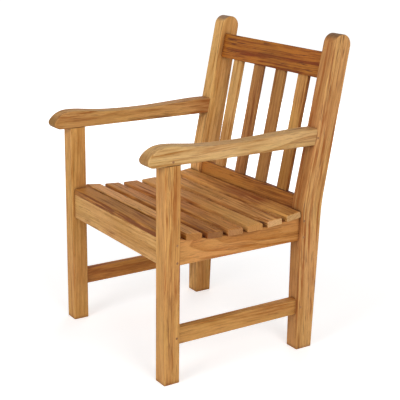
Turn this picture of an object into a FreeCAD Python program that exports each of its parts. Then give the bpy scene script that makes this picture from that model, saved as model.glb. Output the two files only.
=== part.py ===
import FreeCAD, Part
import math
import os
import Sketcher
from FreeCAD import Placement, Rotation, Vector

# Slatted teak garden armchair, joined with pegged mortises and tenons.
# Millimetres and degrees. The origin lies on the floor under the middle of the chair,
# +Z is up and the sitter faces -Y, so the sitter's left is +X.

SIZES = (
    # Whole chair
    ("overall_width", 600),
    ("overall_height", 937),
    ("seat_run", 464),
    ("arm_underside", 625),
    # Front legs
    ("leg_width", 49),
    ("leg_depth", 49),
    ("leg_arris_radius", 3),
    # Rear posts, one board from foot to head: upright below the bend, raked above it
    ("post_width", 49),
    ("post_foot_depth", 56),
    ("post_bend_depth", 73),
    ("bend_lift", 30),
    ("rear_bend_lift", 2),
    ("back_rake_angle", 11.1),
    ("post_head_radius", 30.5),
    ("front_bend_radius", 300),
    ("rear_bend_radius", 600),
    # Arms
    ("arm_width", 49),
    ("arm_front_thickness", 52.5),
    ("nose_overhang", 53),
    ("arm_arris_radius", 4.5),
    ("arm_tenon_thickness", 25),
    ("leg_tenon_depth", 30),
    ("leg_tenon_height", 30),
    ("arm_tenon_lift", 8),
    ("arm_tenon_height", 26),
    ("arm_tenon_length", 25),
    # Seat rails
    ("seat_rail_bottom", 341),
    ("seat_rail_height", 75),
    ("rail_thickness", 24),
    ("rail_arris_radius", 2),
    ("front_recess", 8),
    ("side_recess", 12),
    ("rear_recess", 18),
    ("rear_rail_height", 60),
    ("seat_scoop", 15.5),
    ("tenon_thickness", 12),
    ("tenon_shoulder", 4),
    ("cross_tenon_length", 26),
    ("side_tenon_length", 20),
    # Centre bearer under the seat slats
    ("bearer_thickness", 24),
    ("bearer_lift", 15),
    ("bearer_tenon_lift", 8),
    ("bearer_tenon_height", 28),
    ("bearer_tenon_length", 10),
    # Side stretchers
    ("stretcher_bottom", 110),
    ("stretcher_height", 49),
    # Back rails and slats, measured square to the raked front face of the posts
    ("back_rail_recess", 15),
    ("back_rail_thickness", 25),
    ("back_rail_arris_radius", 3),
    ("back_tenon_shoulder", 8),
    ("low_rail_drop", 24),
    ("low_rail_height", 48),
    ("top_rail_drop", 58),
    ("top_rail_height", 77),
    ("back_slat_width", 47),
    ("back_slat_thickness", 12),
    ("back_slat_arris_radius", 2),
    ("slat_housing", 15),
    # Seat slats
    ("seat_slat_width", 50),
    ("seat_slat_thickness", 18),
    ("seat_slat_arris_radius", 4),
    ("seat_slat_under_arris_radius", 1.5),
    ("slat_end_recess", 4),
    ("first_gap", 20),
    ("slat_clearance", 1),
    # Pegs and dowels
    ("peg_diameter", 7),
    ("peg_bite", 5),
    ("peg_edge", 12.5),
    ("cross_peg_edge", 7.5),
    ("dowel_diameter", 8),
    ("dowel_rise", 10),
    ("dowel_sink", 16),
    ("front_dowel_spread", 180),
    # Fits
    ("joint_clearance", 0.2),
    ("peg_clearance", 0.1),
    ("overrun", 5),
)
SEAT_SLATS = 7
BACK_SLATS = 4
SIDES = (("left", 1), ("right", -1))

# The arm's outline from the end at the post over the top and round the nose:
# shares of the arm's length from the nose, and of its thickness over the leg.
ARM_OUTLINE_SHARES = (
    (0.929, 0.914), (0.857, 0.886), (0.766, 0.838), (0.676, 0.790), (0.603, 0.762),
    (0.522, 0.752), (0.428, 0.762), (0.350, 0.790), (0.277, 0.848), (0.205, 0.933),
    (0.132, 1.000), (0.073, 0.949), (0.036, 0.781), (0.009, 0.533), (0.000, 0.343),
    (0.004, 0.185), (0.020, 0.048), (0.042, 0.000),
)
ARM_REAR_SHARE = 0.914


class Size:
    """A length that carries its value and the way the sheet spells it."""

    def __init__(self, number, text):
        self.number = number
        self.text = text

    def __add__(self, other):
        return Size(self.number + other.number, f"({self.text} + {other.text})")

    def __sub__(self, other):
        return Size(self.number - other.number, f"({self.text} - {other.text})")

    def __mul__(self, factor):
        if isinstance(factor, Size):
            return Size(self.number * factor.number, f"{self.text} * {factor.text}")
        return Size(self.number * factor, f"{self.text} * ({factor})")

    def __truediv__(self, factor):
        if isinstance(factor, Size):
            return Size(self.number / factor.number, f"{self.text} / {factor.text}")
        return Size(self.number / factor, f"{self.text} / {factor}")

    def __neg__(self):
        return self * -1


def measured(number):
    """A length that is measured on a finished piece."""
    return Size(number, repr(number))


ZERO = Size(0, "0")
doc = FreeCAD.newDocument("GardenArmchair")
sheet = doc.addObject("Spreadsheet::Sheet", "Sizes")
for row, (name, value) in enumerate(SIZES, 1):
    sheet.set(f"A{row}", name)
    sheet.set(f"B{row}", str(value))
    sheet.setAlias(f"B{row}", name)
doc.recompute()


def size(name):
    return Size(float(sheet.get(name)), f"Sizes.{name}")


def sine(angle):
    return Size(math.sin(math.radians(angle.number)), f"sin({angle.text})")


def cosine(angle):
    return Size(math.cos(math.radians(angle.number)), f"cos({angle.text})")


def tangent(angle):
    return Size(math.tan(math.radians(angle.number)), f"tan({angle.text})")


# Sizes and places that several pieces share. Depths count from the front legs' front face.
rake = size("back_rake_angle")
half_leg = size("leg_width") / 2
half_post = size("post_width") / 2
post_front = size("seat_run")
rail_top = size("seat_rail_bottom") + size("seat_rail_height")
bend_height = rail_top + size("bend_lift")
rear_bend_height = bend_height + size("rear_bend_lift")
head_height = size("overall_height") - size("post_head_radius")
head_depth = (
    (head_height - bend_height) * tangent(rake)
    + size("post_head_radius") / cosine(rake)
)
overall_depth = size("nose_overhang") + post_front + head_depth + size("post_head_radius")
seat_front = size("nose_overhang") - overall_depth / 2
side_run = size("seat_run") - size("leg_depth")
side_rail_inset = size("side_recess") + size("rail_thickness") / 2
half_tenon = size("tenon_thickness") / 2
gap = size("joint_clearance")
arm_end = post_front + (size("arm_underside") - bend_height) * tangent(rake)
arm_length = size("nose_overhang") + arm_end
back_middle = size("back_rail_recess") + size("back_rail_thickness") / 2
inside_legs = size("overall_width") / 2 - size("leg_width")
inside_posts = size("overall_width") / 2 - size("post_width")


def at(x, y, z):
    """A place in the chair, with the depth counted from the legs' front face."""
    return Placement(Vector(x.number, seat_front.number + y.number, z.number), Rotation())


def new_body(label, placement):
    body = doc.addObject("PartDesign::Body", label)
    body.Label = label
    body.Placement = placement
    return body


def new_sketch(body, name, role, offset=ZERO):
    sketch = body.newObject("Sketcher::SketchObject", name)
    plane = [item for item in body.Origin.OriginFeatures if item.Role == role][0]
    sketch.AttachmentSupport = [(plane, "")]
    sketch.MapMode = "FlatFace"
    sketch.setExpression("AttachmentOffset.Base.z", offset.text)
    return sketch


def pin(sketch, shape, point, across, up):
    """Holds one point of a sketch at its two distances from the sketch's origin."""
    for kind, axis, place in (("DistanceX", -2, across), ("DistanceY", -1, up)):
        if place.text == "0":
            sketch.addConstraint(Sketcher.Constraint("PointOnObject", shape, point, axis))
            continue
        index = sketch.addConstraint(
            Sketcher.Constraint(kind, -1, 1, shape, point, place.number)
        )
        sketch.setExpression(f"Constraints[{index}]", place.text)


def hold_radius(sketch, shape, radius):
    index = sketch.addConstraint(Sketcher.Constraint("Radius", shape, radius.number))
    sketch.setExpression(f"Constraints[{index}]", radius.text)


def flat(corner):
    return Vector(corner[0].number, corner[1].number, 0)


def add_lines(sketch, corners):
    """A chain of lines through the corners, each corner pinned."""
    first = sketch.GeometryCount
    for start, end in zip(corners, corners[1:]):
        sketch.addGeometry(Part.LineSegment(flat(start), flat(end)), False)
    for index, corner in enumerate(corners[:-1]):
        pin(sketch, first + index, 1, *corner)
        if index:
            sketch.addConstraint(
                Sketcher.Constraint("Coincident", first + index - 1, 2, first + index, 1)
            )
    return first


def close_lines(sketch, corners):
    first = add_lines(sketch, corners + corners[:1])
    last = sketch.GeometryCount - 1
    sketch.addConstraint(Sketcher.Constraint("Coincident", last, 2, first, 1))


def pad(body, sketch, length):
    feature = body.newObject("PartDesign::Pad", sketch.Name + "Pad")
    feature.Profile = sketch
    feature.setExpression("Length", length.text)
    doc.recompute()
    return feature


def ease(body, name, radius, test):
    """Rounds the edges of the body's tip that pass the test."""
    tip = body.Tip
    edges = [f"Edge{i}" for i, edge in enumerate(tip.Shape.Edges, 1) if test(edge)]
    feature = body.newObject("PartDesign::Fillet", name)
    feature.Base = (tip, edges)
    feature.setExpression("Radius", radius.text)
    doc.recompute()
    return feature


def box(body, name, kind, spans, lean=None):
    """A block between the low and high ends of its three spans, added or cut."""
    feature = body.newObject(f"PartDesign::{kind}Box", name)
    spans = [sorted(span, key=lambda end: end.number) for span in spans]
    for key, (low, high) in zip(("Length", "Width", "Height"), spans):
        feature.setExpression(key, (high - low).text)
    corner = [low for low, high in spans]
    if lean:
        across, depth, rise = corner
        feature.Placement = Placement(Vector(), lean_back())
        corner = [
            across,
            depth * cosine(lean) + rise * sine(lean),
            bend_height + rise * cosine(lean) - depth * sine(lean),
        ]
    for axis, place in zip("xyz", corner):
        feature.setExpression(f"Placement.Base.{axis}", place.text)
    doc.recompute()
    return feature


def add_tenon(body, name, spans):
    box(body, name, "Additive", spans)


def cut_mortise(body, name, spans, lean=None):
    before = body.Shape.Volume
    box(body, name, "Subtractive", spans, lean)
    if body.Shape.Volume >= before:
        raise RuntimeError(f"{body.Label}: {name} cuts nothing")


def around(middle, half, clearance=ZERO):
    return (middle - half - clearance, middle + half + clearance)


def lean_back():
    return Rotation(Vector(1, 0, 0), -rake.number)


def back_place(x=ZERO):
    """The raked frame of the back: X across, Y square to the slats, Z up the rake."""
    return Placement(
        Vector(x.number, seat_front.number + post_front.number, bend_height.number),
        lean_back(),
    )


def is_along(edge, axis):
    """True for a straight edge along one axis."""
    if not isinstance(edge.Curve, Part.Line):
        return False
    return abs(edge.tangentAt(edge.FirstParameter).dot(axis)) > math.cos(math.radians(1))


# Pegs and dowels, each in the chair's frame, so that its bore and its body agree.

pegs = {}


def add_peg(group, start, direction, length, width, bodies):
    """Bores the pieces that one peg locks together, and keeps its place for its node."""
    turn = Rotation(Vector(0, 0, 1), direction)
    for body in bodies:
        bore = body.newObject("PartDesign::SubtractiveCylinder", f"{group}_bore")
        extra = size("peg_clearance")
        bore.setExpression("Radius", (width / 2 + extra).text)
        bore.setExpression("Height", (length + extra * 2).text)
        foot = start - direction * extra.number
        bore.Placement = body.Placement.inverse() * Placement(foot, turn)
        before = body.Shape.Volume
        doc.recompute()
        if body.Shape.Volume >= before:
            raise RuntimeError(f"{group} misses {body.Label}")
    pegs.setdefault(group, []).append((Placement(start, turn), length, width))


def make_pegs(group):
    """One node for a group of like pegs, each a solid of its own."""
    members = []
    for placement, length, width in pegs[group]:
        peg = doc.addObject("Part::Cylinder", f"{group}_one")
        peg.setExpression("Radius", (width / 2).text)
        peg.setExpression("Height", length.text)
        peg.Placement = placement
        members.append(peg)
    node = doc.addObject("Part::Compound", group)
    node.Label = group
    node.Links = members
    return node


def surface_behind(body, start):
    """Where a straight line backwards from a point leaves the body."""
    shape = body.Shape
    far = Vector(start.x, shape.BoundBox.YMax + size("overrun").number, start.z)
    return Part.makeLine(start, far).common(shape).BoundBox.YMax


# Legs and posts


def make_front_leg(name, side):
    body = new_body(
        f"front_leg_{name}",
        at((size("overall_width") / 2 - half_leg) * side, ZERO, ZERO),
    )
    section = new_sketch(body, "Section", "XY_Plane")
    depth = size("leg_depth")
    close_lines(section, [
        (-half_leg, ZERO), (half_leg, ZERO), (half_leg, depth), (-half_leg, depth),
    ])
    pad(body, section, size("arm_underside"))
    ease(body, "Arris", size("leg_arris_radius"), lambda edge: is_along(edge, Vector(0, 0, 1)))
    add_tenon(body, "ArmTenon", (
        around(ZERO, size("arm_tenon_thickness") / 2),
        around(depth / 2, size("leg_tenon_depth") / 2),
        (size("arm_underside"), size("arm_underside") + size("leg_tenon_height")),
    ))
    rail_heights = (
        size("seat_rail_bottom") + size("tenon_shoulder") - gap,
        rail_top - size("tenon_shoulder") + gap,
    )
    cut_mortise(body, "FrontApronMortise", (
        (-(half_leg + size("overrun")) * side,
         (size("cross_tenon_length") + gap - half_leg) * side),
        around(size("front_recess") + size("rail_thickness") / 2, half_tenon, gap),
        rail_heights,
    ))
    across = around((half_leg - side_rail_inset) * side, half_tenon, gap)
    inward = (depth - size("side_tenon_length") - gap, depth + size("overrun"))
    cut_mortise(body, "SideApronMortise", (across, inward, rail_heights))
    cut_mortise(body, "StretcherMortise", (across, inward, (
        size("stretcher_bottom") + size("tenon_shoulder") - gap,
        size("stretcher_bottom") + size("stretcher_height") - size("tenon_shoulder") + gap,
    )))
    return body


def rear_lean():
    """The lean of the post's rear edge, tangent to its round head, from the vertical."""
    reach = head_depth - size("post_bend_depth")
    rise = head_height - rear_bend_height
    distance = math.hypot(reach.number, rise.number)
    return math.atan2(reach.number, rise.number) + math.asin(
        size("post_head_radius").number / distance
    )


def make_rear_post(name, side):
    body = new_body(
        f"rear_post_{name}",
        at((size("overall_width") / 2 - half_post) * side, post_front, ZERO),
    )
    outline = new_sketch(body, "Outline", "YZ_Plane", -half_post)
    radius = size("post_head_radius")
    head = (head_depth, head_height)
    bend = (ZERO, bend_height)
    rear_bend = (size("post_bend_depth"), rear_bend_height)
    first = math.pi - math.radians(rake.number)
    last = -rear_lean()
    arc = Part.ArcOfCircle(
        Part.Circle(flat(head), Vector(0, 0, 1), radius.number), last, first
    )
    outline.addGeometry([
        arc,
        Part.LineSegment(arc.EndPoint, flat(bend)),
        Part.LineSegment(flat(bend), flat((ZERO, ZERO))),
        Part.LineSegment(flat((ZERO, ZERO)), flat((size("post_foot_depth"), ZERO))),
        Part.LineSegment(flat((size("post_foot_depth"), ZERO)), flat(rear_bend)),
        Part.LineSegment(flat(rear_bend), arc.StartPoint),
    ], False)
    for index in range(1, 5):
        outline.addConstraint(Sketcher.Constraint("Coincident", index, 2, index + 1, 1))
    outline.addConstraint(Sketcher.Constraint("Tangent", 0, 2, 1, 1))
    outline.addConstraint(Sketcher.Constraint("Tangent", 0, 1, 5, 2))
    pin(outline, 0, 3, *head)
    hold_radius(outline, 0, radius)
    pin(outline, 2, 1, *bend)
    pin(outline, 3, 1, ZERO, ZERO)
    pin(outline, 4, 1, size("post_foot_depth"), ZERO)
    pin(outline, 5, 1, *rear_bend)
    pad(body, outline, size("post_width"))
    across_x = Vector(1, 0, 0)
    for label, corner in (("front_bend", bend), ("rear_bend", rear_bend)):
        spot = Vector(0, corner[0].number, corner[1].number)
        ease(
            body, label.title().replace("_", ""), size(f"{label}_radius"),
            lambda edge: is_along(edge, across_x)
            and edge.CenterOfMass.distanceToPoint(spot) < size("leg_arris_radius").number,
        )
    ease(
        body, "Arris", size("leg_arris_radius"),
        lambda edge: not is_along(edge, across_x) and not is_along(edge, Vector(0, 1, 0)),
    )
    overrun = size("overrun")
    across = around((half_post - side_rail_inset) * side, half_tenon, gap)
    inward = (-overrun, size("side_tenon_length") + gap)
    shoulder = size("tenon_shoulder")
    bottom = size("seat_rail_bottom")
    cut_mortise(body, "SideApronMortise", (
        across, inward, (bottom + shoulder - gap, rail_top - shoulder + gap),
    ))
    cut_mortise(body, "StretcherMortise", (across, inward, (
        size("stretcher_bottom") + shoulder - gap,
        size("stretcher_bottom") + size("stretcher_height") - shoulder + gap,
    )))
    from_inside = (
        -(half_post + overrun) * side,
        (size("cross_tenon_length") + gap - half_post) * side,
    )
    cut_mortise(body, "RearRailMortise", (
        from_inside,
        around(size("rear_recess") + size("rail_thickness") / 2, half_tenon, gap),
        (bottom + shoulder - gap, bottom + size("rear_rail_height") - shoulder + gap),
    ))
    cut_mortise(body, "ArmMortise", (
        around(ZERO, size("arm_tenon_thickness") / 2, gap),
        (ZERO, arm_end - post_front + size("arm_tenon_length") + gap),
        arm_tenon_heights(gap),
    ))
    for label in ("low", "top"):
        low, high = back_rail_heights(label)
        cut_mortise(body, f"{label.title()}RailMortise", (
            from_inside, around(back_middle, half_tenon, gap),
            (low + size("back_tenon_shoulder") - gap, high - size("back_tenon_shoulder") + gap),
        ), rake)
    return body


def back_rail_heights(label):
    """Where a back rail starts and ends up the rake, counted from the bend."""
    height = size(f"{label}_rail_height")
    if label == "low":
        low = -size("low_rail_drop")
        return low, low + height
    radius = size("post_head_radius")
    head = (head_height - bend_height) / cosine(rake) + radius * tangent(rake) + radius
    high = head - size("top_rail_drop")
    return high - height, high


# Arms


def arm_tenon_heights(clearance=ZERO):
    low = size("arm_underside") + size("arm_tenon_lift")
    return low - clearance, low + size("arm_tenon_height") + clearance


def make_arm(name, side):
    body = new_body(
        f"arm_{name}",
        at((size("overall_width") / 2 - size("arm_width") / 2) * side, ZERO,
           size("arm_underside")),
    )
    outline = new_sketch(body, "Outline", "YZ_Plane", -size("arm_width") / 2)
    thickness = size("arm_front_thickness")
    nose = -size("nose_overhang")
    end = (arm_end, ZERO)
    rise = thickness * ARM_REAR_SHARE
    crest = (arm_end + rise * tangent(rake), rise)
    points = [flat(crest)] + [
        flat((nose + arm_length * along, thickness * up)) for along, up in ARM_OUTLINE_SHARES
    ]
    curve = Part.BSplineCurve()
    curve.interpolate(points, InitialTangent=Vector(-1, 0, 0), FinalTangent=Vector(1, 0, 0))
    outline.addGeometry([
        curve,
        Part.LineSegment(points[-1], flat(end)),
        Part.LineSegment(flat(end), points[0]),
    ], False)
    outline.addConstraint(Sketcher.Constraint("Block", 0))
    outline.addConstraint(Sketcher.Constraint("Coincident", 0, 2, 1, 1))
    outline.addConstraint(Sketcher.Constraint("Coincident", 1, 2, 2, 1))
    outline.addConstraint(Sketcher.Constraint("Coincident", 2, 2, 0, 1))
    pin(outline, 1, 2, *end)
    pad(body, outline, size("arm_width"))
    ease(
        body, "Arris", size("arm_arris_radius"),
        lambda edge: edge.Length > arm_length.number / 2,
    )
    low, high = arm_tenon_heights()
    add_tenon(body, "PostTenon", (
        around(ZERO, size("arm_tenon_thickness") / 2),
        (arm_end - size("overrun"), arm_end + size("arm_tenon_length")),
        (low - size("arm_underside"), high - size("arm_underside")),
    ))
    cut_mortise(body, "LegMortise", (
        around(ZERO, size("arm_tenon_thickness") / 2, gap),
        around(size("leg_depth") / 2, size("leg_tenon_depth") / 2, gap),
        (-size("overrun"), size("leg_tenon_height") + gap),
    ))
    return body


# Rails of the seat


def scoop_radius():
    scoop = size("seat_scoop")
    return (side_run * side_run / 4 + scoop * scoop) / 2 / scoop


def scoop_seat(depth, width):
    """Height and tilt of a board whose two lower edges rest in the scoop."""
    radius = scoop_radius().number
    middle = rail_top.number - size("seat_scoop").number + radius
    turn = math.asin((depth - side_run.number / 2) / radius)
    return middle - radius * math.cos(turn), math.degrees(turn + math.asin(width / 2 / radius))


def scooped_board(body, front, rear, height, thickness):
    """A board with a scooped upper edge, and level ends where it runs past the scoop."""
    outline = new_sketch(body, "Outline", "YZ_Plane", -thickness / 2)
    corners = [(side_run, height)]
    if rear.number > side_run.number:
        corners.append((rear, height))
    corners += [(rear, ZERO), (front, ZERO)]
    if front.number < 0:
        corners.append((front, height))
    corners.append((ZERO, height))
    add_lines(outline, corners)
    last = outline.GeometryCount - 1
    radius = scoop_radius()
    reach = math.asin(side_run.number / 2 / radius.number)
    middle = Vector(side_run.number / 2, height.number - size("seat_scoop").number
                    + radius.number, 0)
    scoop = Part.ArcOfCircle(
        Part.Circle(middle, Vector(0, 0, 1), radius.number),
        math.pi * 1.5 - reach, math.pi * 1.5 + reach,
    )
    arc = outline.addGeometry(scoop, False)
    outline.addConstraint(Sketcher.Constraint("Coincident", last, 2, arc, 1))
    outline.addConstraint(Sketcher.Constraint("Coincident", arc, 2, 0, 1))
    pin(outline, arc, 1, ZERO, height)
    hold_radius(outline, arc, radius)
    pad(body, outline, thickness)
    ease(
        body, "Arris", size("rail_arris_radius"),
        lambda edge: not is_along(edge, Vector(1, 0, 0))
        and not is_along(edge, Vector(0, 0, 1)),
    )


def straight_board(body, across, depth, rise, arris, axis):
    """A plain rail with its long arrises eased."""
    outline = new_sketch(body, "Outline", "YZ_Plane", across[0])
    close_lines(outline, [
        (depth[0], rise[0]), (depth[1], rise[0]), (depth[1], rise[1]), (depth[0], rise[1]),
    ])
    pad(body, outline, across[1] - across[0])
    ease(body, "Arris", arris, lambda edge: is_along(edge, axis))


def make_front_apron():
    body = new_body("front_apron", at(ZERO, size("front_recess"), size("seat_rail_bottom")))
    height = size("seat_rail_height")
    thickness = size("rail_thickness")
    straight_board(
        body, (-inside_legs, inside_legs), (ZERO, thickness), (ZERO, height),
        size("rail_arris_radius"), Vector(1, 0, 0),
    )
    reach = inside_legs + size("cross_tenon_length")
    add_tenon(body, "Tenons", (
        (-reach, reach), around(thickness / 2, half_tenon),
        (size("tenon_shoulder"), height - size("tenon_shoulder")),
    ))
    cut_mortise(body, "BearerHousing", (
        around(ZERO, half_tenon, gap),
        (thickness - size("bearer_tenon_length") - gap, thickness + size("overrun")),
        bearer_tenon_heights(gap),
    ))
    return body


def bearer_tenon_heights(clearance=ZERO):
    low = size("bearer_lift") + size("bearer_tenon_lift")
    return low - clearance, low + size("bearer_tenon_height") + clearance


def make_rear_rail():
    body = new_body(
        "rear_seat_rail",
        at(ZERO, post_front + size("rear_recess"), size("seat_rail_bottom")),
    )
    height = size("rear_rail_height")
    thickness = size("rail_thickness")
    straight_board(
        body, (-inside_posts, inside_posts), (ZERO, thickness), (ZERO, height),
        size("rail_arris_radius"), Vector(1, 0, 0),
    )
    reach = inside_posts + size("cross_tenon_length")
    add_tenon(body, "Tenons", (
        (-reach, reach), around(thickness / 2, half_tenon),
        (size("tenon_shoulder"), height - size("tenon_shoulder")),
    ))
    cut_mortise(body, "BearerHousing", (
        around(ZERO, half_tenon, gap),
        (-size("overrun"), size("bearer_tenon_length") + gap),
        bearer_tenon_heights(gap),
    ))
    return body


def make_side_apron(name, side):
    body = new_body(
        f"side_apron_{name}",
        at((size("overall_width") / 2 - side_rail_inset) * side, size("leg_depth"),
           size("seat_rail_bottom")),
    )
    height = size("seat_rail_height")
    scooped_board(body, ZERO, side_run, height, size("rail_thickness"))
    reach = size("side_tenon_length")
    heights = (size("tenon_shoulder"), height - size("tenon_shoulder"))
    for label, span in (
        ("FrontTenon", (-reach, size("overrun"))),
        ("RearTenon", (side_run - size("overrun"), side_run + reach)),
    ):
        add_tenon(body, label, (around(ZERO, half_tenon), span, heights))
    return body


def make_bearer():
    front = size("front_recess") + size("rail_thickness") - size("leg_depth")
    rear = side_run + size("rear_recess")
    body = new_body(
        "centre_seat_bearer",
        at(ZERO, size("leg_depth"), size("seat_rail_bottom") + size("bearer_lift")),
    )
    height = size("seat_rail_height") - size("bearer_lift")
    scooped_board(body, front, rear, height, size("bearer_thickness"))
    low = size("bearer_tenon_lift")
    reach = size("bearer_tenon_length")
    heights = (low, low + size("bearer_tenon_height"))
    for label, span in (
        ("FrontTenon", (front - reach, front + size("overrun"))),
        ("RearTenon", (rear - size("overrun"), rear + reach)),
    ):
        add_tenon(body, label, (around(ZERO, half_tenon), span, heights))
    return body


def make_stretcher(name, side):
    body = new_body(
        f"side_stretcher_{name}",
        at((size("overall_width") / 2 - side_rail_inset) * side, size("leg_depth"),
           size("stretcher_bottom")),
    )
    thickness = size("rail_thickness")
    height = size("stretcher_height")
    section = new_sketch(body, "Section", "YZ_Plane", -thickness / 2)
    close_lines(section, [
        (ZERO, ZERO), (side_run, ZERO), (side_run, height), (ZERO, height),
    ])
    pad(body, section, thickness)
    ease(body, "Arris", size("rail_arris_radius"), lambda edge: is_along(edge, Vector(0, 1, 0)))
    reach = size("side_tenon_length")
    add_tenon(body, "Tenons", (
        around(ZERO, half_tenon), (-reach, side_run + reach),
        (size("tenon_shoulder"), height - size("tenon_shoulder")),
    ))
    return body


# The back


def slat_places():
    """Middles of the back slats, with equal gaps between the posts."""
    width = size("back_slat_width")
    space = (inside_posts * 2 - width * BACK_SLATS) / (BACK_SLATS + 1)
    return [
        (space + width) * (index + 1) - width / 2 - inside_posts
        for index in range(BACK_SLATS)
    ]


def make_back_rail(label, name):
    body = new_body(name, back_place())
    low, high = back_rail_heights(label)
    front = size("back_rail_recess")
    straight_board(
        body, (-inside_posts, inside_posts), (front, front + size("back_rail_thickness")),
        (low, high), size("back_rail_arris_radius"), Vector(1, 0, 0),
    )
    reach = inside_posts + size("cross_tenon_length")
    shoulder = size("back_tenon_shoulder")
    add_tenon(body, "Tenons", (
        (-reach, reach), around(back_middle, half_tenon), (low + shoulder, high - shoulder),
    ))
    depth = size("slat_housing") + gap
    heights = (high - depth, high + size("overrun"))
    if label == "top":
        heights = (low - size("overrun"), low + depth)
    for index, place in enumerate(slat_places(), 1):
        cut_mortise(body, f"Slat{index}Mortise", (
            around(place, size("back_slat_width") / 2, gap),
            around(back_middle, size("back_slat_thickness") / 2, gap), heights,
        ))
    return body


def make_back_slat(index, place):
    body = new_body(f"back_slat_{index}", back_place(place))
    low = back_rail_heights("low")[1] - size("slat_housing")
    high = back_rail_heights("top")[0] + size("slat_housing")
    section = new_sketch(body, "Section", "XY_Plane", low)
    half = size("back_slat_width") / 2
    front, rear = around(back_middle, size("back_slat_thickness") / 2)
    close_lines(section, [(-half, front), (half, front), (half, rear), (-half, rear)])
    pad(body, section, high - low)
    ease(body, "Arris", size("back_slat_arris_radius"), lambda edge: is_along(edge, Vector(0, 0, 1)))
    return body


# The seat


def make_seat_slat(index):
    width = size("seat_slat_width")
    half = size("overall_width") / 2 - size("slat_end_recess")
    if index == 1:
        half = inside_legs - size("slat_clearance")
        placement = at(ZERO, size("front_recess"), rail_top)
    else:
        steps = SEAT_SLATS - 2
        last = side_run - size("slat_clearance") - width
        step = (last - size("first_gap")) / steps
        depth = size("first_gap").number + step.number * (index - 2)
        height, tilt = scoop_seat(depth, width.number)
        place = Vector(0, seat_front.number + size("leg_depth").number + depth, height)
        placement = Placement(place, Rotation(Vector(1, 0, 0), tilt))
    body = new_body(f"seat_slat_{index}", placement)
    plan = new_sketch(body, "Plan", "XY_Plane")
    close_lines(plan, [(-half, ZERO), (half, ZERO), (half, width), (-half, width)])
    pad(body, plan, size("seat_slat_thickness"))
    thickness = size("seat_slat_thickness").number
    ease(
        body, "TopArris", size("seat_slat_arris_radius"),
        lambda edge: edge.BoundBox.ZMin > thickness / 2,
    )
    ease(
        body, "UnderArris", size("seat_slat_under_arris_radius"),
        lambda edge: edge.BoundBox.ZMax < thickness / 2 and is_along(edge, Vector(1, 0, 0)),
    )
    return body


# Fastening: every peg and dowel names the pieces that it goes through.


def fasten_side(pieces, name, side):
    """The pegs driven from the outer faces of one side of the chair."""
    face = side * size("overall_width").number / 2
    inward = Vector(-side, 0, 0)
    width = size("peg_diameter")
    length = side_rail_inset + half_tenon + size("peg_bite")
    front = seat_front.number
    reach = size("side_tenon_length").number / 2
    leg, post = pieces[f"front_leg_{name}"], pieces[f"rear_post_{name}"]
    leg_depth = front + size("leg_depth").number - reach
    post_depth = front + post_front.number + reach
    edge = size("peg_edge").number
    apron, stretcher = pieces[f"side_apron_{name}"], pieces[f"side_stretcher_{name}"]
    middle = size("stretcher_bottom").number + size("stretcher_height").number / 2
    for upright, depth in ((leg, leg_depth), (post, post_depth)):
        for height in (size("seat_rail_bottom").number + edge, rail_top.number - edge):
            add_peg("side_apron_pegs", Vector(face, depth, height), inward, length, width,
                    (upright, apron))
        add_peg("stretcher_pegs", Vector(face, depth, middle), inward, length, width,
                (upright, stretcher))
    arm = pieces[f"arm_{name}"]
    length = half_leg + size("arm_tenon_thickness") / 2 - size("peg_bite")
    low, high = arm_tenon_heights()
    add_peg("arm_pegs",
            Vector(face, front + size("leg_depth").number / 2, low.number + width.number / 2),
            inward, length, width, (arm, leg))
    add_peg("arm_pegs",
            Vector(face, front + arm_end.number + size("arm_tenon_length").number / 2,
                   (low.number + high.number) / 2),
            inward, length, width, (post, arm))


def fasten_cross(pieces, name, side):
    """The pegs that lock the cross rails, driven where the sitter doesn't see them."""
    width = size("peg_diameter")
    forward = Vector(0, -1, 0)
    leg, post = pieces[f"front_leg_{name}"], pieces[f"rear_post_{name}"]
    bottom = size("seat_rail_bottom").number
    across = side * (inside_legs.number + size("cross_peg_edge").number)
    rear_face = seat_front.number + size("leg_depth").number
    middle = bottom + size("seat_rail_height").number / 2
    cover = size("front_recess") + size("rail_thickness") / 2 - half_tenon - size("peg_bite")
    add_peg("front_apron_pegs", Vector(across, rear_face, middle), forward,
            size("leg_depth") - cover, width, (leg, pieces["front_apron"]))
    across = side * (inside_posts.number + size("cross_tenon_length").number / 2)
    height = bottom + size("rear_rail_height").number / 2
    rear = surface_behind(
        post, Vector(across, seat_front.number + post_front.number + back_middle.number, height)
    )
    reach = size("rear_recess") + size("rail_thickness") / 2 - half_tenon - size("peg_bite")
    add_peg("rear_rail_pegs", Vector(across, rear, height), forward,
            measured(rear - seat_front.number - post_front.number) - reach, width,
            (post, pieces["rear_seat_rail"]))


for name, side in SIDES:
    make_front_leg(name, side)
    make_rear_post(name, side)
    make_arm(name, side)
    make_side_apron(name, side)
    make_stretcher(name, side)
make_front_apron()
make_rear_rail()
make_bearer()
make_back_rail("low", "bottom_back_rail")
make_back_rail("top", "top_back_rail")
for index, place in enumerate(slat_places(), 1):
    make_back_slat(index, place)
for index in range(1, SEAT_SLATS + 1):
    make_seat_slat(index)
pieces = {item.Label: item for item in doc.Objects if item.TypeId == "PartDesign::Body"}


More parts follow.
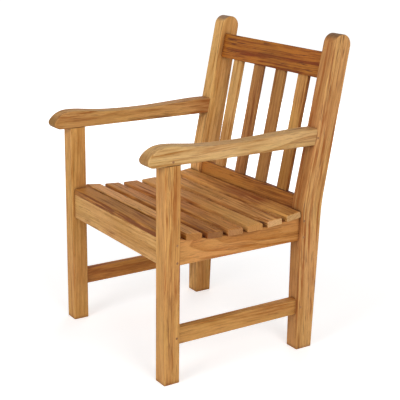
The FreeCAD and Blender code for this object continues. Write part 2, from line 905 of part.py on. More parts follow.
def fasten_back(pieces, name, side):
    """The pegs through the back rails' tenons, driven from the posts' rear edge."""
    width = size("peg_diameter")
    forward = Rotation(Vector(1, 0, 0), -rake.number).multVec(Vector(0, -1, 0))
    post = pieces[f"rear_post_{name}"]
    across = side * (inside_posts.number + size("cross_tenon_length").number / 2)
    reach = back_middle - half_tenon - size("peg_bite")
    for label, rail in (("low", "bottom_back_rail"), ("top", "top_back_rail")):
        low, high = back_rail_heights(label)
        rise = (low + high) / 2
        start = back_place().multVec(Vector(across, back_middle.number, rise.number))
        line = Part.makeLine(start, start - forward * size("post_bend_depth").number)
        depth = line.common(post.Shape).Length
        add_peg("back_rail_pegs", start - forward * depth, forward,
                measured(depth + back_middle.number) - reach, width, (post, pieces[rail]))


def fasten_seat(pieces):
    """Blind dowels between the seat slats and the rails under them."""
    width = size("dowel_diameter")
    length = size("dowel_rise") + size("dowel_sink")
    across = size("overall_width").number / 2 - side_rail_inset.number
    for index in range(2, SEAT_SLATS + 1):
        slat = pieces[f"seat_slat_{index}"]
        up = slat.Placement.Rotation.multVec(Vector(0, 0, 1))
        for x, under in ((across, "side_apron_left"), (-across, "side_apron_right")):
            seat = slat.Placement.multVec(Vector(x, size("seat_slat_width").number / 2, 0))
            add_peg("slat_dowels", seat - up * size("dowel_sink").number, up, length, width,
                    (slat, pieces[under]))
    depth = seat_front + size("front_recess") + size("rail_thickness") / 2
    for name, side in SIDES:
        start = Vector(side * size("front_dowel_spread").number, depth.number,
                       rail_top.number - size("dowel_sink").number)
        add_peg("slat_dowels", start, Vector(0, 0, 1), length, width,
                (pieces["seat_slat_1"], pieces["front_apron"]))


for name, side in SIDES:
    fasten_side(pieces, name, side)
    fasten_cross(pieces, name, side)
    fasten_back(pieces, name, side)
fasten_seat(pieces)
for group in sorted(pegs):
    pieces[group] = make_pegs(group)
doc.recompute()

for item in doc.Objects:
    if "Invalid" in item.State or "Error" in item.State:
        raise RuntimeError(f"{item.Label} is {item.State}")
os.makedirs("parts", exist_ok=True)
for label, item in pieces.items():
    if item.Shape.isNull() or not item.Shape.isValid():
        raise RuntimeError(f"{label} has no valid shape")
    item.Shape.exportStep(f"parts/{label}.step")
print(len(pieces), "pieces")
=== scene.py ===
import math

import bpy
from mathutils import Matrix, Vector


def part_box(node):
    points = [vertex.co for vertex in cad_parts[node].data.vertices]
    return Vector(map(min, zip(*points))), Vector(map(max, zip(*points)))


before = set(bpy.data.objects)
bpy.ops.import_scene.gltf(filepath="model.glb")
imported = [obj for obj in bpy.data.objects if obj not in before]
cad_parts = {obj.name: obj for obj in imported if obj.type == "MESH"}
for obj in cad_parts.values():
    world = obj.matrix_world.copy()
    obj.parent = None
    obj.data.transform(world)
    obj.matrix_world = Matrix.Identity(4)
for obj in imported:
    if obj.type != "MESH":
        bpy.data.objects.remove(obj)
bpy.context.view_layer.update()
print("frame loaded:", len(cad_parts), "boards and peg groups")

rake = math.radians(11.1)  # lean of the back from the vertical
bendHeight = 0.446  # where the posts start to lean
acrossX = Vector((1, 0, 0))
alongY = Vector((0, 1, 0))
upZ = Vector((0, 0, 1))
upRake = Vector((0, math.sin(rake), math.cos(rake)))
offRake = Vector((0, math.cos(rake), -math.sin(rake)))


def toLinear(tone):  # 0 to 255 as seen on a screen, to the renderer's linear colour
    parts = [value / 255 for value in tone]
    return tuple(
        value / 12.92 if value <= 0.04045 else ((value + 0.055) / 1.055) ** 2.4
        for value in parts
    ) + (1.0,)


# Small helpers that keep the node trees readable

def addNode(tree, kind, **settings):
    node = tree.nodes.new(kind)
    for key, value in settings.items():
        setattr(node, key, value)
    return node


def feed(tree, socket, source):  # a number, a colour or another node's output
    if isinstance(source, bpy.types.NodeSocket):
        tree.links.new(source, socket)
    else:
        socket.default_value = source


def doMath(tree, operation, first, second=0.0, third=0.0, clamp=False):
    node = addNode(tree, "ShaderNodeMath", operation=operation, use_clamp=clamp)
    for socket, source in zip(node.inputs, (first, second, third)):
        feed(tree, socket, source)
    return node.outputs[0]


def doVector(tree, operation, first, second=(0, 0, 0), scale=1.0):
    node = addNode(tree, "ShaderNodeVectorMath", operation=operation)
    feed(tree, node.inputs[0], first)
    feed(tree, node.inputs[1], second)
    if operation == "SCALE":
        feed(tree, node.inputs["Scale"], scale)
    return node.outputs["Value"] if operation in ("LENGTH", "DOT_PRODUCT") else node.outputs[0]


def mixColours(tree, factor, first, second, blend="MIX"):
    node = addNode(tree, "ShaderNodeMix", data_type="RGBA", blend_type=blend)
    feed(tree, node.inputs["Factor"], factor)
    feed(tree, node.inputs[6], first)
    feed(tree, node.inputs[7], second)
    return node.outputs[2]


def makeNoise(tree, vector, scales, detail, roughness=0.55, offset=(0, 0, 0)):
    place = addNode(tree, "ShaderNodeMapping")
    feed(tree, place.inputs["Vector"], vector)
    place.inputs["Scale"].default_value = scales
    place.inputs["Location"].default_value = offset
    noise = addNode(tree, "ShaderNodeTexNoise")
    noise.inputs["Scale"].default_value = 1.0
    noise.inputs["Detail"].default_value = detail
    noise.inputs["Roughness"].default_value = roughness
    tree.links.new(place.outputs[0], noise.inputs["Vector"])
    return noise


def makeRange(tree, value, low, high, toLow=0.0, toHigh=1.0, smooth=True):
    node = addNode(tree, "ShaderNodeMapRange", clamp=True)
    node.interpolation_type = "SMOOTHSTEP" if smooth else "LINEAR"
    for name, source in (
        ("Value", value), ("From Min", low), ("From Max", high),
        ("To Min", toLow), ("To Max", toHigh),
    ):
        feed(tree, node.inputs[name], source)
    return node.outputs[0]


def makeSeen(tree):  # 1 where the camera sees a thing, itself or in a reflection
    path = addNode(tree, "ShaderNodeLightPath")
    seen = doMath(tree, "MAXIMUM", path.outputs["Is Camera Ray"], path.outputs["Is Glossy Ray"])
    return doMath(tree, "MAXIMUM", seen, path.outputs["Is Transmission Ray"])


def startMaterial(name):
    material = bpy.data.materials.new(name)
    material.use_nodes = True
    return material, material.node_tree


def coat(node, material):
    node.data.materials.clear()
    node.data.materials.append(material)


def makeRamp(tree, value, stops, curve="LINEAR"):  # stops are (place, level) pairs
    node = addNode(tree, "ShaderNodeValToRGB")
    ramp = node.color_ramp
    ramp.interpolation = curve
    while len(ramp.elements) < len(stops):
        ramp.elements.new(0.5)
    for element, (place, level) in zip(ramp.elements, stops):
        element.position = place
        element.color = (level, level, level, 1)
    feed(tree, node.inputs[0], value)
    return node.outputs[0]


# The teak itself: growth rings round a pith, wide bands, mineral streaks, fibres and pores.
# The vector holds metres: X along the grain, Y and Z from the pith.

teakGrain = {  # "scales" are repeats in a metre, along the grain and across it
    "wander": {"scales": (3.0, 9.0, 9.0), "detail": 1.5, "roughness": 0.5},
    "bands": {"scales": (0.8, 24.0, 24.0), "detail": 3.0, "offset": (3, 1, 7)},
    "figure": {
        "scales": (3.0, 110.0, 110.0), "detail": 4.0, "roughness": 0.62, "offset": (2, 9, 4),
    },
    "plain": {"scales": (3.0, 16.0, 16.0), "detail": 1.0, "offset": (4, 7, 5)},
    "mottle": {"scales": (12.0, 105.0, 105.0), "detail": 2.0, "offset": (7, 5, 1)},
    "streaks": {"scales": (1.1, 34.0, 34.0), "detail": 3.0, "offset": (5, 8, 1)},
    "gaps": {"scales": (6.0, 40.0, 40.0), "detail": 1.0, "offset": (1, 6, 3)},
    "flecks": {"scales": (11.0, 210.0, 210.0), "detail": 2.0, "offset": (6, 3, 8)},
    "patches": {"scales": (3.5, 12.0, 12.0), "detail": 2.0, "offset": (9, 4, 2)},
    "fibres": {"scales": (26.0, 620.0, 620.0), "detail": 2.0, "roughness": 0.6},
    "pores": {"scales": (70.0, 950.0, 950.0), "detail": 1.0, "offset": (2, 2, 2)},
}
teakFades = {  # a pattern grows from nothing to full between these levels of its noise
    "figure": (0.36, 0.64), "mottle": (0.36, 0.64), "plain": (0.36, 0.6), "gaps": (0.42, 0.6),
    "flecks": (0.58, 0.7), "pores": (0.56, 0.67), "patches": (0.3, 0.7),
    "streaks": (0.035, 0.0),  # how far the noise is from its middle
}
teakRings = {  # "stops" are places across one ring and how dark it is there
    "stops": ((0.0, 0.1), (0.45, 0.25), (0.82, 0.85), (0.93, 1.0), (1.0, 0.1)),
    "unevenScale": 0.6, "uneven": 1.6, "faintest": 0.3,
}
teakMix = {  # how much of each pattern goes into the tone, the shade, the gloss and the relief
    "tone": {"ringMiddle": 0.35, "mottle": 0.6, "plain": (0.25, 1.25), "patches": 0.5},
    "endGrain": {"rings": 0.25, "pores": 0.2, "tone": 0.2},
    "poresInRings": (0.4, 0.6),  # in the palest wood, and how many more in the darkest
    "shade": {"base": 0.75, "fibres": 0.5, "pores": -0.32},
    "rough": {"base": 0.54, "fibres": 0.16, "pores": 0.12, "worn": -0.1, "tone": 0.06},
    "relief": {"rings": -0.35, "fibres": 0.5, "pores": -1.0},
    "hue": (0.496, 0.504),  # 0.5 leaves it as it is
}
paintedShadeTint = (0.3, 0.19, 0.11, 1)  # painted shade in corners and gaps, linear


def makeRings(group, place, ringWidth):
    radius = doVector(group, "LENGTH", doVector(group, "MULTIPLY", place, (0, 1, 1)))
    count = doMath(group, "DIVIDE", radius, ringWidth)
    uneven = addNode(group, "ShaderNodeTexNoise", noise_dimensions="1D")
    feed(group, uneven.inputs["W"], count)
    uneven.inputs["Scale"].default_value = teakRings["unevenScale"]
    count = doMath(group, "MULTIPLY_ADD", uneven.outputs[0], teakRings["uneven"], count)
    ring = makeRamp(group, doMath(group, "FRACT", count), teakRings["stops"])
    kind = addNode(group, "ShaderNodeTexWhiteNoise", noise_dimensions="1D")
    feed(group, kind.inputs["W"], doMath(group, "FLOOR", count))
    strength = makeRange(group, kind.outputs[0], 0, 1, teakRings["faintest"], 1.0, False)
    return doMath(group, "MULTIPLY", ring, strength)


def makeTeakGroup():
    group = bpy.data.node_groups.new("teakGrain", "ShaderNodeTree")
    face = group.interface
    face.new_socket("Place", in_out="INPUT", socket_type="NodeSocketVector")
    for name in ("Light", "Dark", "Streak"):
        face.new_socket(name, in_out="INPUT", socket_type="NodeSocketColor")
    for name in (
        "Tone", "Ring Width", "Rings", "Bands", "Figure", "Streaks", "Flecks", "Wander",
        "Worn", "Rub", "Painted Shade", "End Grain",
    ):
        face.new_socket(name, in_out="INPUT", socket_type="NodeSocketFloat")
    face.new_socket("Color", in_out="OUTPUT", socket_type="NodeSocketColor")
    face.new_socket("Roughness", in_out="OUTPUT", socket_type="NodeSocketFloat")
    face.new_socket("Height", in_out="OUTPUT", socket_type="NodeSocketFloat")
    given = addNode(group, "NodeGroupInput").outputs
    result = addNode(group, "NodeGroupOutput").inputs

    def makePattern(name, vector):
        return makeNoise(group, vector, **teakGrain[name]).outputs[0]

    def fadeIn(name, pattern, toLow=0.0, toHigh=1.0, smooth=True):
        return makeRange(group, pattern, *teakFades[name], toLow, toHigh, smooth)

    wander = makeNoise(group, given["Place"], **teakGrain["wander"])
    sway = doVector(group, "SUBTRACT", wander.outputs["Color"], (0.5, 0.5, 0.5))
    sway = doVector(group, "SCALE", sway, scale=given["Wander"])
    swayed = doVector(group, "ADD", given["Place"], sway)
    ring = makeRings(group, swayed, given["Ring Width"])
    bands = makePattern("bands", swayed)
    patches = makePattern("patches", given["Place"])
    fibres = makePattern("fibres", swayed)
    tone = teakMix["tone"]
    figure = fadeIn("figure", makePattern("figure", swayed), -0.5, 0.5, False)
    mottle = fadeIn("mottle", makePattern("mottle", swayed), -0.5, 0.5, False)
    figure = doMath(group, "MULTIPLY_ADD", mottle, tone["mottle"], figure)
    plain = fadeIn("plain", makePattern("plain", swayed), *tone["plain"])
    figure = doMath(group, "MULTIPLY", figure, plain)  # parts of a board are almost plain
    # a streak is where a slow noise crosses its middle, so it wanders and stays thin
    streaks = doMath(group, "SUBTRACT", makePattern("streaks", swayed), 0.5)
    streaks = fadeIn("streaks", doMath(group, "ABSOLUTE", streaks))
    gaps = fadeIn("gaps", makePattern("gaps", given["Place"]))
    streaks = doMath(group, "MULTIPLY", streaks, gaps)
    flecks = fadeIn("flecks", makePattern("flecks", swayed))
    flecks = doMath(group, "MULTIPLY", flecks, given["Flecks"])
    pores = fadeIn("pores", makePattern("pores", swayed))
    least, more = teakMix["poresInRings"]
    pores = doMath(group, "MULTIPLY", pores, doMath(group, "MULTIPLY_ADD", ring, more, least))

    # tone: 0 is the board's light colour and 1 its dark one
    level = doMath(group, "SUBTRACT", ring, tone["ringMiddle"])
    level = doMath(group, "MULTIPLY", level, given["Rings"])
    level = doMath(group, "MULTIPLY_ADD", figure, given["Figure"], level)
    swing = doMath(group, "SUBTRACT", bands, 0.5)
    level = doMath(group, "MULTIPLY_ADD", swing, given["Bands"], level)
    swing = doMath(group, "SUBTRACT", patches, 0.5)
    level = doMath(group, "MULTIPLY_ADD", swing, tone["patches"], level)
    level = doMath(group, "ADD", level, given["Tone"], clamp=True)
    end = teakMix["endGrain"]
    endLevel = doMath(group, "MULTIPLY", pores, end["pores"])
    endLevel = doMath(group, "MULTIPLY_ADD", ring, end["rings"], endLevel)
    endLevel = doMath(group, "MULTIPLY_ADD", level, end["tone"], endLevel)
    level = makeRange(group, given["End Grain"], 0, 1, level, endLevel, False)
    colour = mixColours(group, level, given["Light"], given["Dark"])
    amount = doMath(group, "MULTIPLY_ADD", streaks, given["Streaks"], flecks, clamp=True)
    sideGrain = doMath(group, "SUBTRACT", 1.0, given["End Grain"])
    amount = doMath(group, "MULTIPLY", amount, sideGrain)
    colour = mixColours(group, amount, colour, given["Streak"])

    # shade: fibres, dark pores and pale rubbed edges; painted shade then darkens corners and gaps
    mix = teakMix["shade"]
    shade = doMath(group, "MULTIPLY_ADD", fibres, mix["fibres"], mix["base"])
    shade = doMath(group, "MULTIPLY_ADD", pores, mix["pores"], shade)
    rubbed = makeRange(group, given["Worn"], 0, 1, 1, given["Rub"])
    shade = doMath(group, "MULTIPLY", shade, rubbed)
    grey = addNode(group, "ShaderNodeCombineColor")
    for socket in grey.inputs:
        feed(group, socket, shade)
    colour = mixColours(group, 1.0, colour, grey.outputs[0], "MULTIPLY")
    # painted shade: corners and gaps where boards meet go towards a warm dark brown
    colour = mixColours(group, given["Painted Shade"], colour, paintedShadeTint, "MULTIPLY")
    turned = addNode(group, "ShaderNodeHueSaturation")
    feed(group, turned.inputs["Hue"], fadeIn("patches", patches, *teakMix["hue"]))
    feed(group, turned.inputs["Color"], colour)
    feed(group, result["Color"], turned.outputs[0])

    mix = teakMix["rough"]
    rough = doMath(group, "MULTIPLY_ADD", fibres, mix["fibres"], mix["base"])
    rough = doMath(group, "MULTIPLY_ADD", pores, mix["pores"], rough)
    rough = doMath(group, "MULTIPLY_ADD", given["Worn"], mix["worn"], rough)
    rough = doMath(group, "MULTIPLY_ADD", level, mix["tone"], rough)
    feed(group, result["Roughness"], rough)

    mix = teakMix["relief"]
    height = doMath(group, "MULTIPLY", ring, mix["rings"])
    height = doMath(group, "MULTIPLY_ADD", fibres, mix["fibres"], height)
    height = doMath(group, "MULTIPLY_ADD", pores, mix["pores"], height)
    feed(group, result["Height"], height)
    return group


teakGroup = makeTeakGroup()
print("teak grain ready")

# How a board lies in the chair: the way its grain runs, its width and its thickness

upright = {"grain": upZ, "width": acrossX, "through": alongY}
leaningPost = {"grain": upZ, "width": alongY, "through": acrossX, "bent": True}
crossRail = {"grain": acrossX, "width": upZ, "through": alongY}
sideRail = {"grain": alongY, "width": upZ, "through": acrossX}
backRail = {"grain": acrossX, "width": upRake, "through": offRake}
backSlat = {"grain": upRake, "width": acrossX, "through": offRake}
seatSlat = {"grain": acrossX, "width": alongY, "through": upZ, "rub": 1.3}  # rubbed by sitting

# How each board was cut. "pith" is the place of the board's middle from the heart of the log
# and "start" its place along the log, both in metres; "run" tilts the grain in degrees.
# "light", "dark" and "streak" are its tones as seen on a screen. "tones" shift it towards dark
# along its length, from the low end to the high end. A shift on its faces towards the sitter's
# left, the front and the top is painted shade (above 0) and painted light (below 0) where a face
# takes less or more light, and partly each face's own tone from its cut. "contrast" makes the
# figure stronger or calmer on the faces across X, Y and Z. "ends" tints the end grain and "rub"
# is how much paler the rounded edges are.

boardDefaults = {
    "pith": (0.09, 0.05), "start": 0.0, "run": (0.6, 0.8), "bent": False,
    "light": (205, 155, 98), "dark": (150, 98, 52), "streak": (114, 63, 24),
    "tones": ((0.0, 0.35), (1.0, 0.35)), "faceToneAndShade": (0, 0, 0), "contrast": (1.0, 1.0, 1.0),
    "ringWidth": 0.0065, "rings": 0.35, "bands": 0.7, "figure": 0.7, "streaks": 0.4,
    "flecks": 0.45, "wander": 0.012, "ends": (0.9, 0.84, 0.76), "rub": 1.08,
}

boards = {
    "front_leg_left": {
        **upright, "light": (211, 158, 88), "dark": (163, 96, 33), "pith": (0.014, -0.096),
        "start": 21.4, "rings": 0.4, "bands": 0.45, "figure": 1.0, "streaks": 0.3,
        "tones": ((0.0, 0.35), (0.25, 0.3), (0.6, 0.45), (1.0, 0.4)), "faceToneAndShade": (0.03, -0.04, 0),
        "contrast": (1.5, 1.0, 1.0),
    },
    "front_leg_right": {
        **upright, "light": (218, 164, 93), "dark": (173, 107, 39), "pith": (-0.077, 0.046),
        "start": 5.4, "figure": 0.55, "streaks": 0.15, "flecks": 0.3,
        "faceToneAndShade": (0.04, -0.07, 0), "contrast": (0.8, 1.5, 1.0),
    },
    "rear_post_left": {
        **leaningPost, "light": (210, 156, 92), "dark": (158, 89, 33), "streak": (128, 82, 46),
        "pith": (0.119, 0.068), "start": 9.3, "ringWidth": 0.011, "rings": 0.15, "bands": 1.35,
        "figure": 1.15, "streaks": 0.35, "flecks": 1.0,
        "tones": ((0.0, 0.1), (0.3, 0.35), (0.5, 0.4), (0.85, 0.35), (1.0, 0.25)),
        "faceToneAndShade": (-0.15, 0.18, 0), "contrast": (1.0, 0.35, 1.0), "ends": (0.33, 0.3, 0.3),
    },
    "rear_post_right": {
        **leaningPost, "light": (229, 176, 105), "dark": (176, 111, 41), "pith": (0.072, 0.104),
        "start": 41.4, "bands": 0.4, "figure": 0.75, "streaks": 0.3,
        "tones": ((0.0, 0.65), (0.35, 0.65), (0.5, 0.25), (0.7, 0.35), (0.92, 0.5), (1.0, 0.35)),
        "faceToneAndShade": (0.1, -0.2, 0), "contrast": (0.75, 1.4, 1.0), "ends": (0.46, 0.49, 0.85),
    },
    "arm_left": {
        **sideRail, "light": (214, 172, 112), "dark": (167, 109, 46), "streak": (150, 104, 62),
        "pith": (0.031, 0.081), "start": 43, "run": (1.7, -0.6), "ringWidth": 0.008, "rings": 0.8,
        "bands": 1.0, "figure": 0.6, "streaks": 0.6, "wander": 0.018,
        "tones": ((0.0, 0.45), (0.2, 0.45), (0.42, 0.25), (0.6, 0.4), (0.8, 0.15), (1.0, 0.4)),
        "faceToneAndShade": (0.08, 0, -0.11), "contrast": (1.0, 2.0, 1.8), "ends": (0.59, 0.48, 0.36),
    },
    "arm_right": {
        **sideRail, "light": (203, 152, 87), "dark": (153, 92, 32), "pith": (0.022, 0.06),
        "start": 5.9, "run": (1.8, 0.5), "bands": 1.3, "figure": 0.9, "streaks": 0.5,
        "wander": 0.02,
        "tones": ((0.0, 0.45), (0.4, 0.4), (0.62, 0.15), (0.78, 0.15), (0.95, 0.75)),
        "faceToneAndShade": (0.04, 0, -0.21), "contrast": (1.3, 2.0, 1.6), "ends": (0.5, 0.45, 0.3),
    },
    "front_apron": {
        **crossRail, "light": (215, 164, 99), "dark": (167, 107, 39), "streak": (146, 92, 40),
        "pith": (0.029, -0.033), "start": 1.2, "run": (2.4, 0.4), "ringWidth": 0.009,
        "figure": 0.9, "flecks": 0.65, "wander": 0.02,
        "tones": ((0.0, 0.2), (0.3, 0.25), (0.6, 0.5), (0.85, 0.35), (1.0, 0.33)),
    },
    "rear_seat_rail": {**crossRail, "start": 9.8},
    "side_apron_left": {
        **sideRail, "light": (213, 151, 83), "dark": (167, 97, 29), "pith": (-0.014, 0.083),
        "start": 36.7, "run": (2.6, 0.3), "ringWidth": 0.01, "rings": 0.85, "bands": 0.9,
        "figure": 0.55, "wander": 0.03,
        "tones": ((0.0, 0.0), (0.25, 0.3), (0.6, 0.55), (1.0, 0.55)),
    },
    "side_apron_right": {**sideRail, "start": 12.4},
    "centre_seat_bearer": {**sideRail, "start": 13.7},
    "side_stretcher_left": {
        **sideRail, "light": (202, 148, 78), "dark": (162, 98, 30), "pith": (0.068, 0.061),
        "start": 2.9, "run": (0.4, 1.0),
        "tones": ((0.0, 0.0), (0.3, 0.25), (0.75, 0.35), (1.0, 0.5)), "faceToneAndShade": (-0.01, 0, 0.08),
    },
    "side_stretcher_right": {
        **sideRail, "light": (192, 129, 58), "dark": (143, 72, 12), "pith": (0.048, 0.085),
        "start": 39, "bands": 1.0, "figure": 1.0, "tones": ((0.0, 0.3), (0.7, 0.35), (1.0, 0.5)),
    },
    "top_back_rail": {
        **backRail, "light": (180, 109, 32), "dark": (125, 56, 3), "streak": (98, 44, 10),
        "pith": (0.112, 0.03), "start": 50.4, "run": (0.4, 0.9), "ringWidth": 0.011, "rings": 0.9,
        "bands": 0.65, "figure": 1.3, "streaks": 0.7, "flecks": 1.1, "wander": 0.02,
        "tones": ((0.0, 0.15), (0.2, 0.35), (0.75, 0.35), (1.0, 0.5)),
    },
    "bottom_back_rail": {
        **backRail, "light": (189, 121, 49), "dark": (125, 63, 8), "streak": (96, 40, 16),
        "pith": (0.037, 0.07), "start": 30.3, "run": (0.4, 1.6), "rings": 0.6, "figure": 0.9,
        "streaks": 0.9, "tones": ((0.0, 0.1), (0.4, 0.25), (0.55, 0.7), (1.0, 0.75)),
        "faceToneAndShade": (0, -0.37, 0.6),
    },
    "back_slat_1": {
        **backSlat, "light": (222, 171, 105), "dark": (173, 112, 48), "pith": (0.059, 0.027),
        "start": 5.1, "bands": 1.1, "tones": ((0.0, 0.5), (0.4, 0.6), (0.5, 0.3), (1.0, 0.35)),
    },
    "back_slat_2": {
        **backSlat, "light": (182, 126, 67), "dark": (129, 71, 19), "pith": (0.045, 0.031),
        "start": 50.3, "run": (1.8, 1), "bands": 1.2, "figure": 1.3, "streaks": 0.8,
        "faceToneAndShade": (0.3, 0, 0),
    },
    "back_slat_3": {
        **backSlat, "light": (184, 131, 69), "dark": (132, 75, 18), "pith": (-0.084, 0.025),
        "start": 18.7, "figure": 1.0, "faceToneAndShade": (0.15, 0, 0),
    },
    "back_slat_4": {
        **backSlat, "light": (206, 151, 81), "dark": (156, 93, 29), "pith": (-0.077, 0.003),
        "start": 36.8, "run": (0.3, 1.6), "figure": 0.85, "flecks": 0.5,
        "tones": ((0.0, 0.75), (0.3, 0.65), (0.45, 0.2), (1.0, 0.15)), "faceToneAndShade": (0.3, 0, 0),
    },
    "seat_slat_1": {
        **seatSlat, "light": (186, 125, 54), "dark": (119, 61, 8), "streak": (112, 66, 26),
        "pith": (0.044, 0.061), "start": 40.1, "run": (-0.7, 1.8), "bands": 1.2, "figure": 0.9,
        "tones": ((0.0, 0.0), (0.2, 0.1), (0.35, 0.5), (0.65, 0.5), (1.0, 0.4)),
        "faceToneAndShade": (0, 0.48, -0.28), "contrast": (1.0, 1.3, 0.9), "rub": 1.0,
    },
    "seat_slat_2": {
        **seatSlat, "light": (227, 165, 93), "dark": (177, 113, 42), "pith": (0.053, 0.083),
        "start": 47.5, "run": (0.6, 1.5), "figure": 1.0, "flecks": 0.7,
        "tones": ((0.0, 0.1), (0.3, 0.2), (0.7, 0.3), (1.0, 0.6)), "faceToneAndShade": (0, 0.25, -0.27),
        "contrast": (1.0, 1.4, 1.2), "ends": (0.59, 0.5, 0.4),
    },
    "seat_slat_3": {
        **seatSlat, "light": (201, 136, 66), "dark": (145, 82, 26), "pith": (-0.091, 0.03),
        "start": 35.7, "run": (1.1, 1.8), "figure": 1.2, "streaks": 0.6, "flecks": 0.8,
        "tones": ((0.0, 0.1), (0.4, 0.2), (0.55, 0.55), (0.85, 0.65), (1.0, 0.6)),
        "faceToneAndShade": (0, 0.4, 0), "ends": (0.52, 0.49, 0.6),
    },
    "seat_slat_4": {
        **seatSlat, "light": (200, 136, 68), "dark": (143, 78, 19), "pith": (0.066, 0.045),
        "start": 0.8, "figure": 1.2, "flecks": 0.8,
        "tones": ((0.0, 0.1), (0.25, 0.4), (0.5, 0.5), (0.7, 0.45), (0.85, 0.2), (1.0, 0.15)),
        "faceToneAndShade": (0, 0.1, -0.04), "ends": (0.8, 0.86, 1.18),
    },
    "seat_slat_5": {
        **seatSlat, "light": (215, 156, 86), "dark": (162, 94, 33), "pith": (0.102, 0.014),
        "start": 54.3, "figure": 0.9,
        "tones": ((0.0, 0.0), (0.3, 0.5), (0.5, 0.5), (0.75, 0.2), (1.0, 0.05)),
        "faceToneAndShade": (0, 0.07, -0.01), "ends": (0.8, 0.73, 0.72),
    },
    "seat_slat_6": {
        **seatSlat, "light": (222, 162, 92), "dark": (155, 91, 32), "pith": (-0.046, 0.094),
        "start": 50.3, "figure": 1.2, "flecks": 0.9,
        "tones": ((0.0, 0.0), (0.18, 0.25), (0.35, 0.45), (0.8, 0.5), (1.0, 0.3)),
        "faceToneAndShade": (0, 0.21, -0.09), "contrast": (1.0, 1.0, 1.3), "ends": (1.0, 1.13, 1.6),
    },
    "seat_slat_7": {
        **seatSlat, "light": (226, 163, 86), "dark": (139, 71, 16), "pith": (0.055, -0.085),
        "start": 53.1,
        "tones": ((0.0, 0.05), (0.35, 0.45), (0.5, 0.8), (0.7, 0.8), (0.85, 0.35), (1.0, 0.55)),
        "faceToneAndShade": (0, -0.2, 0.07), "ends": (0.83, 0.94, 1.45),
    },
}
boardFinish = {  # what all boards share, lengths in metres
    "bendBlend": 0.05,  # how softly the grain of a post turns at its bend
    "sideFacing": (0.45, 0.85),  # turn of a face before its painted shade and contrast show
    "endFacing": (0.4, 0.9),  # and towards the grain before end grain shows
    "edgeRadius": 0.0028, "edgeTurn": (0.995, 0.86),  # from flat wood to a worn arris
    "shadeReach": 0.02, "shadeOpen": (0.82, 0.3),  # from open wood to full painted shade
    "shine": 0.3, "bumpStrength": 0.6, "bumpDepth": 0.0005,
}
faceWays = ((1, 0, 0), (0, -1, 0), (0, 0, 1))  # the sitter's left, the front and the top


def boardPlace(tree, cut, middle):  # board coordinates: X along the grain, Y and Z from the pith
    spot = addNode(tree, "ShaderNodeTexCoord").outputs["Object"]
    if cut["bent"]:  # the grain follows the lean of the post above its bend
        parts = addNode(tree, "ShaderNodeSeparateXYZ")
        feed(tree, parts.inputs[0], spot)
        above = doMath(tree, "SUBTRACT", parts.outputs[2], bendHeight)
        above = doMath(tree, "SMOOTH_MAX", above, 0.0, boardFinish["bendBlend"])
        depth = doMath(tree, "MULTIPLY_ADD", above, -math.tan(rake), parts.outputs[1])
        joined = addNode(tree, "ShaderNodeCombineXYZ")
        for socket, source in zip(joined.inputs, (parts.outputs[0], depth, parts.outputs[2])):
            feed(tree, socket, source)
        spot = joined.outputs[0]
    tilt = Matrix.Rotation(math.radians(cut["run"][0]), 3, "Y")
    tilt = tilt @ Matrix.Rotation(math.radians(cut["run"][1]), 3, "Z")
    turn = tilt @ Matrix((cut["grain"], cut["width"], cut["through"]))
    place = addNode(tree, "ShaderNodeMapping")
    feed(tree, place.inputs["Vector"], spot)
    place.inputs["Rotation"].default_value = turn.to_euler("XYZ")
    shift = Vector((cut["start"], *cut["pith"]))
    place.inputs["Location"].default_value = shift - turn @ Vector(middle)
    return place.outputs[0]


def makeWear(tree):  # 1 on rounded edges
    bevel = addNode(tree, "ShaderNodeBevel", samples=4)
    bevel.inputs["Radius"].default_value = boardFinish["edgeRadius"]
    geometry = addNode(tree, "ShaderNodeNewGeometry")
    flat = doVector(tree, "DOT_PRODUCT", bevel.outputs[0], geometry.outputs["True Normal"])
    return makeRange(tree, flat, *boardFinish["edgeTurn"])


def makePaintedShade(tree):  # 1 in corners and gaps where boards meet, for painted shade
    near = addNode(tree, "ShaderNodeAmbientOcclusion", samples=6)
    near.inputs["Distance"].default_value = boardFinish["shadeReach"]
    return makeRange(tree, near.outputs["AO"], *boardFinish["shadeOpen"])


def makeShare(tree, spot, way, low, high):  # 0 to 1 along the board, from its low end up
    ends = sorted(way.dot(Vector(corner)) for corner in (low, high))
    return makeRange(tree, doVector(tree, "DOT_PRODUCT", spot, way), *ends, smooth=False)


